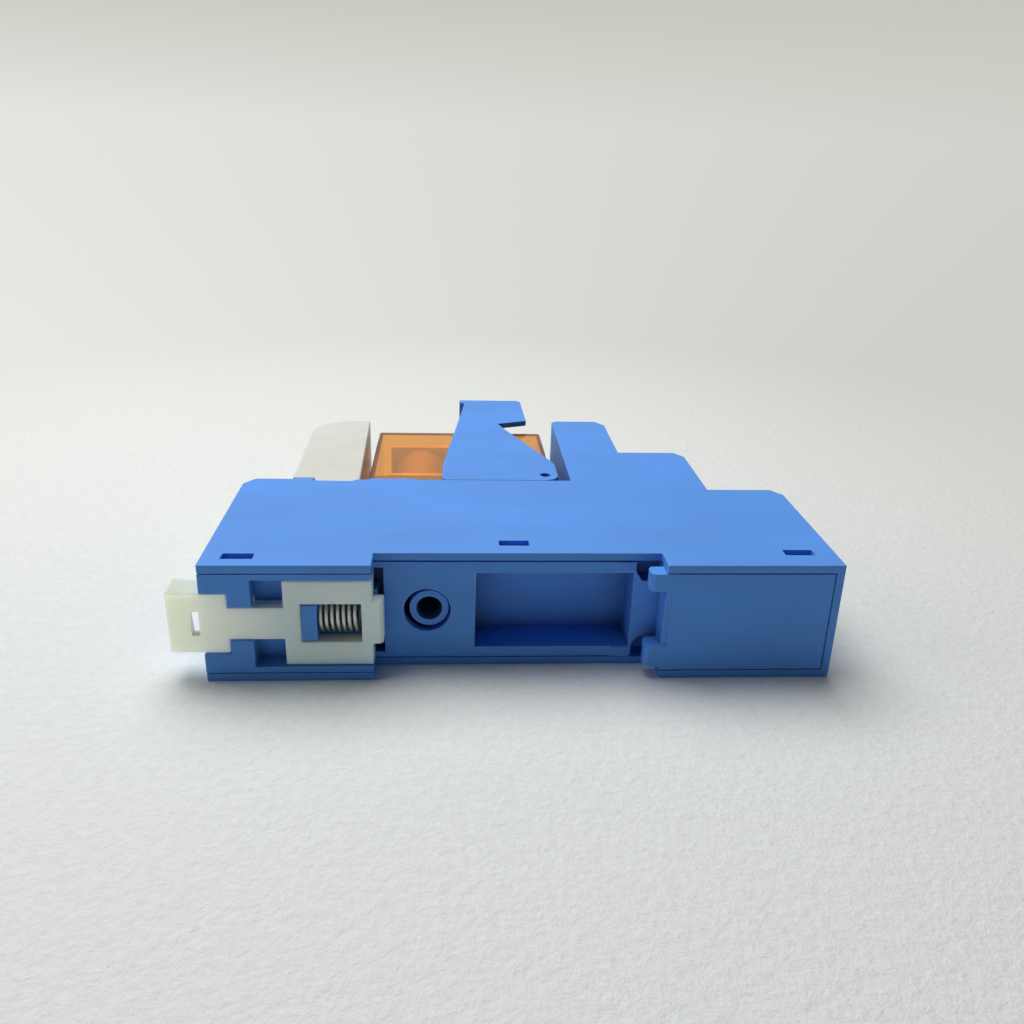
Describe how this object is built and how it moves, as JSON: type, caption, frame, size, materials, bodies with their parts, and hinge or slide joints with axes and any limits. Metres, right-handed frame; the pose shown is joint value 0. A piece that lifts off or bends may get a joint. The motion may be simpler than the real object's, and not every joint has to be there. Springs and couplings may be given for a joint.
{
  "type": "plug-in relay with socket",
  "caption": "Slim plug-in relay in a blue rail socket, with a release lever, a sprung rail clip, stepped screw terminals and a milky indicator module.",
  "frame": {"origin": "centre of the rail seat, half way across the width of the socket", "axes": "+X along the socket towards the hooks, +Y away from the rail, +Z across the width, up as it lies on its side"},
  "size_m": [0.0828, 0.0744, 0.0158],
  "materials": {
    "blue_plastic": "fine moulded",
    "nylon": "smooth moulded",
    "spring_steel": "drawn",
    "plated_steel": "zinc plated",
    "tinned_brass": "satin",
    "amber_cover": "gloss",
    "black_plastic": "moulded",
    "bobbin_plastic": "moulded",
    "copper_wire": "lacquered",
    "soft_iron": "plated",
    "card_plastic": "moulded",
    "contact_metal": "satin",
    "milky_cover": "milky",
    "board_laminate": "laminate",
    "led_lens": "clear tinted"
  },
  "bodies": {
    "socket": {"housing": "blue_plastic", "base": "blue_plastic", "rail_clip_spring": "spring_steel", "coil_bar_a": "tinned_brass", "coil_bar_b": "tinned_brass", "upper_bar_a": "tinned_brass", "upper_bar_b": "tinned_brass", "middle_bar_a": "tinned_brass", "middle_bar_b": "tinned_brass", "lower_bar_a": "tinned_brass", "lower_bar_b": "tinned_brass"},
    "clip": {"rail_clip": "nylon"},
    "lever": {"lever": "blue_plastic"},
    "relay": {"relay_cover": "amber_cover", "relay_base": "black_plastic", "coil_bobbin": "bobbin_plastic", "coil_winding": "copper_wire", "coil_core": "soft_iron", "yoke": "soft_iron", "coil_pin_a": "contact_metal", "coil_pin_b": "contact_metal", "common_terminal_a": "contact_metal", "common_terminal_b": "contact_metal", "closed_contact_a": "contact_metal", "closed_contact_b": "contact_metal", "open_contact_a": "contact_metal", "open_contact_b": "contact_metal"},
    "armature": {"armature": "soft_iron", "armature_card": "card_plastic"},
    "contacts": {"contact_blade_a": "contact_metal", "contact_blade_b": "contact_metal"},
    "module": {"module_cover": "milky_cover", "module_board": "board_laminate", "module_led": "led_lens", "module_diode": "black_plastic", "module_pin_a": "tinned_brass", "module_pin_b": "tinned_brass"},
    "coil_screw_a": {"coil_screw_a": "plated_steel"},
    "coil_cage_a": {"coil_cage_a": "plated_steel"},
    "coil_screw_b": {"coil_screw_b": "plated_steel"},
    "coil_cage_b": {"coil_cage_b": "plated_steel"},
    "upper_screw_a": {"upper_screw_a": "plated_steel"},
    "upper_cage_a": {"upper_cage_a": "plated_steel"},
    "upper_screw_b": {"upper_screw_b": "plated_steel"},
    "upper_cage_b": {"upper_cage_b": "plated_steel"},
    "middle_screw_a": {"middle_screw_a": "plated_steel"},
    "middle_cage_a": {"middle_cage_a": "plated_steel"},
    "middle_screw_b": {"middle_screw_b": "plated_steel"},
    "middle_cage_b": {"middle_cage_b": "plated_steel"},
    "lower_screw_a": {"lower_screw_a": "plated_steel"},
    "lower_cage_a": {"lower_cage_a": "plated_steel"},
    "lower_screw_b": {"lower_screw_b": "plated_steel"},
    "lower_cage_b": {"lower_cage_b": "plated_steel"}
  },
  "joints": [
    {"name": "clip_slide", "type": "slide", "parent": "socket", "child": "clip", "axis": [-1, 0, 0], "range_m": [0, 0.0018], "stiffness_N_per_m": 600, "springref_m": -0.004, "deforming": ["rail_clip_spring"]},
    {"name": "lever_tilt", "type": "hinge", "parent": "socket", "child": "lever", "pos_m": [0.00585, 0.02885, 0], "axis": [0, 0, -1], "range_deg": [0, 11]},
    {"name": "relay_lift", "type": "slide", "parent": "socket", "child": "relay", "axis": [0, 1, 0], "range_m": [0, 0.00296]},
    {"name": "armature_swing", "type": "hinge", "parent": "relay", "child": "armature", "pos_m": [-0.0069, 0.05, 0], "axis": [0, 0, 1], "range_deg": [0, 5], "stiffness_Nm_per_rad": 0.02, "springref_deg": -11.46},
    {"name": "contact_swing", "type": "hinge", "parent": "relay", "child": "contacts", "pos_m": [0.0001, 0.0345, 0], "axis": [0, 0, -1], "range_deg": [0, 1.85]},
    {"name": "module_pull", "type": "slide", "parent": "socket", "child": "module", "axis": [0, 1, 0], "range_m": [0, 0.012]},
    {"name": "coil_screw_a_turn", "type": "hinge", "parent": "socket", "child": "coil_screw_a", "pos_m": [-0.03465, 0.0262, 0.00367], "axis": [0, -1, 0], "range_deg": [0, 1440]},
    {"name": "coil_cage_a_rise", "type": "slide", "parent": "socket", "child": "coil_cage_a", "axis": [0, 1, 0], "range_m": [0, 0.002]},
    {"name": "coil_screw_b_turn", "type": "hinge", "parent": "socket", "child": "coil_screw_b", "pos_m": [-0.03465, 0.0262, -0.00367], "axis": [0, -1, 0], "range_deg": [0, 1440]},
    {"name": "coil_cage_b_rise", "type": "slide", "parent": "socket", "child": "coil_cage_b", "axis": [0, 1, 0], "range_m": [0, 0.002]},
    {"name": "upper_screw_a_turn", "type": "hinge", "parent": "socket", "child": "upper_screw_a", "pos_m": [0.015, 0.0569, 0.00367], "axis": [0, -1, 0], "range_deg": [0, 1440]},
    {"name": "upper_cage_a_rise", "type": "slide", "parent": "socket", "child": "upper_cage_a", "axis": [0, 1, 0], "range_m": [0, 0.002]},
    {"name": "upper_screw_b_turn", "type": "hinge", "parent": "socket", "child": "upper_screw_b", "pos_m": [0.015, 0.0569, -0.00367], "axis": [0, -1, 0], "range_deg": [0, 1440]},
    {"name": "upper_cage_b_rise", "type": "slide", "parent": "socket", "child": "upper_cage_b", "axis": [0, 1, 0], "range_m": [0, 0.002]},
    {"name": "middle_screw_a_turn", "type": "hinge", "parent": "socket", "child": "middle_screw_a", "pos_m": [0.02555, 0.0397, 0.00367], "axis": [0, -1, 0], "range_deg": [0, 1440]},
    {"name": "middle_cage_a_rise", "type": "slide", "parent": "socket", "child": "middle_cage_a", "axis": [0, 1, 0], "range_m": [0, 0.002]},
    {"name": "middle_screw_b_turn", "type": "hinge", "parent": "socket", "child": "middle_screw_b", "pos_m": [0.02555, 0.0397, -0.00367], "axis": [0, -1, 0], "range_deg": [0, 1440]},
    {"name": "middle_cage_b_rise", "type": "slide", "parent": "socket", "child": "middle_cage_b", "axis": [0, 1, 0], "range_m": [0, 0.002]},
    {"name": "lower_screw_a_turn", "type": "hinge", "parent": "socket", "child": "lower_screw_a", "pos_m": [0.03635, 0.0227, 0.00367], "axis": [0, -1, 0], "range_deg": [0, 1440]},
    {"name": "lower_cage_a_rise", "type": "slide", "parent": "socket", "child": "lower_cage_a", "axis": [0, 1, 0], "range_m": [0, 0.002]},
    {"name": "lower_screw_b_turn", "type": "hinge", "parent": "socket", "child": "lower_screw_b", "pos_m": [0.03635, 0.0227, -0.00367], "axis": [0, -1, 0], "range_deg": [0, 1440]},
    {"name": "lower_cage_b_rise", "type": "slide", "parent": "socket", "child": "lower_cage_b", "axis": [0, 1, 0], "range_m": [0, 0.002]}
  ],
  "couplings": [
    {"joint": "lever_tilt", "follows": "relay_lift", "rad_per_m": 64.7},
    {"joint": "contact_swing", "follows": "armature_swing", "ratio": 0.37},
    {"joint": "coil_screw_a_turn", "follows": "coil_cage_a_rise", "rad_per_m": 12566},
    {"joint": "coil_screw_b_turn", "follows": "coil_cage_b_rise", "rad_per_m": 12566},
    {"joint": "upper_screw_a_turn", "follows": "upper_cage_a_rise", "rad_per_m": 12566},
    {"joint": "upper_screw_b_turn", "follows": "upper_cage_b_rise", "rad_per_m": 12566},
    {"joint": "middle_screw_a_turn", "follows": "middle_cage_a_rise", "rad_per_m": 12566},
    {"joint": "middle_screw_b_turn", "follows": "middle_cage_b_rise", "rad_per_m": 12566},
    {"joint": "lower_screw_a_turn", "follows": "lower_cage_a_rise", "rad_per_m": 12566},
    {"joint": "lower_screw_b_turn", "follows": "lower_cage_b_rise", "rad_per_m": 12566}
  ]
}
